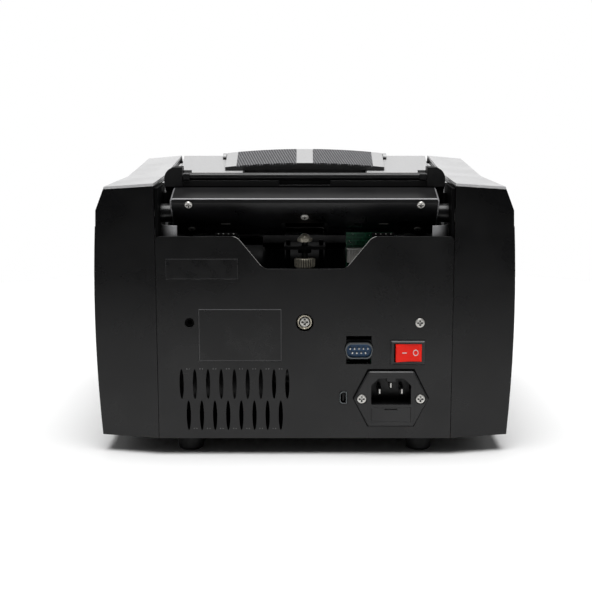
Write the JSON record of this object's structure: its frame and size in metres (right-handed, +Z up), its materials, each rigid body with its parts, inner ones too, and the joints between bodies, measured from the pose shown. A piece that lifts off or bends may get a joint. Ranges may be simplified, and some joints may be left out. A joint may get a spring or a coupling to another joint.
{
  "type": "banknote counting machine",
  "caption": "Desktop banknote counter: sloped rear hopper with folding handle, feed drum and stacker wheels inside, front note pocket, rear panel with mains inlet, switch and ports.",
  "frame": {"origin": "on the desk under the middle of the machine's overall box", "axes": "+Z up, -Y towards the operator and the note pocket, +Y out of the rear panel, +X to the operator's right"},
  "size_m": [0.264, 0.2849, 0.1835],
  "materials": {
    "steel_plated": "zinc plated, satin",
    "frame_black": "fine satin black",
    "panel_black": "satin powder coat",
    "cover_black": "satin moulded",
    "trim_silver": "satin silver paint",
    "hatch_black": "gloss with bright rounded edges",
    "inner_black": "matt moulded",
    "inlay_grey": "dotted texture",
    "rubber_black": "matt",
    "screw_nickel": "nickel plated",
    "knob_nickel": "nickel plated brass, knurled",
    "shaft_steel": "ground",
    "alu": "turned",
    "wheel_grey": "flexible, matt",
    "label_dark": "plain film",
    "glass_dark": "dark clear window",
    "board_green": "solder resist",
    "plug_white": "nylon",
    "serial_blue": "matt",
    "rocker_red": "gloss",
    "button_grey": "soft touch"
  },
  "bodies": {
    "chassis": {"base_plate": "steel_plated", "rubber_feet": "rubber_black", "side_frame_left": "frame_black", "side_frame_right": "frame_black", "tie_rods": "shaft_steel", "rear_crossbar": "frame_black", "rear_panel": "panel_black", "rear_screws": "screw_nickel", "blank_labels": "label_dark", "side_cover_left": "cover_black", "side_cover_right": "cover_black", "top_trim_left": "trim_silver", "top_trim_right": "trim_silver", "hopper_tray": "trim_silver", "hopper_back": "inner_black", "guide_rail": "shaft_steel", "control_panel": "trim_silver", "display_window": "glass_dark", "display_module": "board_green", "pocket_back": "inner_black", "pocket_floor": "inner_black", "shaft_bearings": "shaft_steel", "drive_motor": "steel_plated", "drive_belts": "rubber_black", "path_guide": "steel_plated", "main_board": "board_green", "power_supply": "board_green", "sensor_board": "board_green", "sensor_plug": "plug_white", "serial_port": "screw_nickel", "serial_insert": "serial_blue", "usb_port": "screw_nickel", "inlet_housing": "inner_black", "inlet_pins": "screw_nickel", "switch_bezel": "inner_black"},
    "handle": {"handle_grip": "inner_black", "handle_cover": "trim_silver", "handle_inlays": "inlay_grey"},
    "hatch": {"hatch_cover": "hatch_black", "hatch_screws": "screw_nickel"},
    "guide_left": {"note_guide_left": "inner_black"},
    "guide_right": {"note_guide_right": "inner_black"},
    "knob": {"gap_knob": "knob_nickel"},
    "retard": {"retard_arm": "frame_black", "retard_pad": "rubber_black"},
    "drum": {"drum_shaft": "alu", "drum_rings": "rubber_black"},
    "pickup": {"pickup_shaft": "shaft_steel", "pickup_tyres": "rubber_black"},
    "transfer_upper": {"transfer_roller_upper": "shaft_steel"},
    "transfer_lower": {"transfer_roller_lower": "shaft_steel"},
    "stacker": {"stacker_shaft": "shaft_steel", "stacker_wheels": "wheel_grey"},
    "rotor": {"motor_rotor": "alu"},
    "rocker": {"power_rocker": "rocker_red"},
    "fuse": {"fuse_drawer": "inner_black"},
    "mode_button": {"button_mode": "button_grey"},
    "add_button": {"button_add": "button_grey"},
    "batch_button": {"button_batch": "button_grey"},
    "start_button": {"button_start": "button_grey"}
  },
  "joints": [
    {"name": "handle_fold", "type": "hinge", "parent": "chassis", "child": "handle", "pos_m": [0, -0.02915, 0.17865], "axis": [1, 0, 0], "range_deg": [0, 85]},
    {"name": "hatch_hinge", "type": "hinge", "parent": "chassis", "child": "hatch", "pos_m": [0, 0.121, 0.152], "axis": [-1, 0, 0], "range_deg": [0, 26]},
    {"name": "guide_left_slide", "type": "slide", "parent": "chassis", "child": "guide_left", "axis": [1, 0, 0], "range_m": [0, 0.022]},
    {"name": "guide_right_slide", "type": "slide", "parent": "chassis", "child": "guide_right", "axis": [-1, 0, 0], "range_m": [0, 0.022]},
    {"name": "gap_knob_turn", "type": "hinge", "parent": "chassis", "child": "knob", "pos_m": [0, 0.1175, 0.1195], "axis": [0, 0, 1], "range_deg": [-541, 541]},
    {"name": "retard_lift", "type": "slide", "parent": "chassis", "child": "retard", "axis": [0, 0, 1], "range_m": [-0.00075, 0.00075]},
    {"name": "drum_spin", "type": "hinge", "parent": "chassis", "child": "drum", "pos_m": [0, 0.08, 0.106], "axis": [1, 0, 0], "continuous": true},
    {"name": "pickup_spin", "type": "hinge", "parent": "chassis", "child": "pickup", "pos_m": [0, 0.05452, 0.13857], "axis": [1, 0, 0], "continuous": true},
    {"name": "upper_transfer_spin", "type": "hinge", "parent": "chassis", "child": "transfer_upper", "pos_m": [0, 0.02, 0.0922], "axis": [1, 0, 0], "continuous": true},
    {"name": "lower_transfer_spin", "type": "hinge", "parent": "chassis", "child": "transfer_lower", "pos_m": [0, 0.02, 0.0692], "axis": [1, 0, 0], "continuous": true},
    {"name": "stacker_spin", "type": "hinge", "parent": "chassis", "child": "stacker", "pos_m": [0, -0.022, 0.056], "axis": [1, 0, 0], "continuous": true},
    {"name": "motor_spin", "type": "hinge", "parent": "chassis", "child": "rotor", "pos_m": [0, 0.1, 0.04], "axis": [1, 0, 0], "continuous": true},
    {"name": "power_switch", "type": "hinge", "parent": "chassis", "child": "rocker", "pos_m": [-0.0644, 0.137, 0.0666], "axis": [0, 0, 1], "range_deg": [-12, 0]},
    {"name": "fuse_drawer_slide", "type": "slide", "parent": "chassis", "child": "fuse", "axis": [0, 1, 0], "range_m": [0, 0.02]},
    {"name": "mode_press", "type": "slide", "parent": "chassis", "child": "mode_button", "axis": [0, 0.6016, -0.7988], "range_m": [0, 0.0012], "stiffness_N_per_m": 400, "springref_m": -0.0005},
    {"name": "add_press", "type": "slide", "parent": "chassis", "child": "add_button", "axis": [0, 0.6016, -0.7988], "range_m": [0, 0.0012], "stiffness_N_per_m": 400, "springref_m": -0.0005},
    {"name": "batch_press", "type": "slide", "parent": "chassis", "child": "batch_button", "axis": [0, 0.6016, -0.7988], "range_m": [0, 0.0012], "stiffness_N_per_m": 400, "springref_m": -0.0005},
    {"name": "start_press", "type": "slide", "parent": "chassis", "child": "start_button", "axis": [0, 0.6016, -0.7988], "range_m": [0, 0.0012], "stiffness_N_per_m": 400, "springref_m": -0.0005}
  ],
  "couplings": [
    {"joint": "gap_knob_turn", "follows": "retard_lift", "rad_per_m": 12566},
    {"joint": "pickup_spin", "follows": "drum_spin", "ratio": 1},
    {"joint": "upper_transfer_spin", "follows": "drum_spin", "ratio": 2.3},
    {"joint": "lower_transfer_spin", "follows": "drum_spin", "ratio": -2.3},
    {"joint": "stacker_spin", "follows": "drum_spin", "ratio": -0.92},
    {"joint": "motor_spin", "follows": "drum_spin", "ratio": 2.3333}
  ]
}
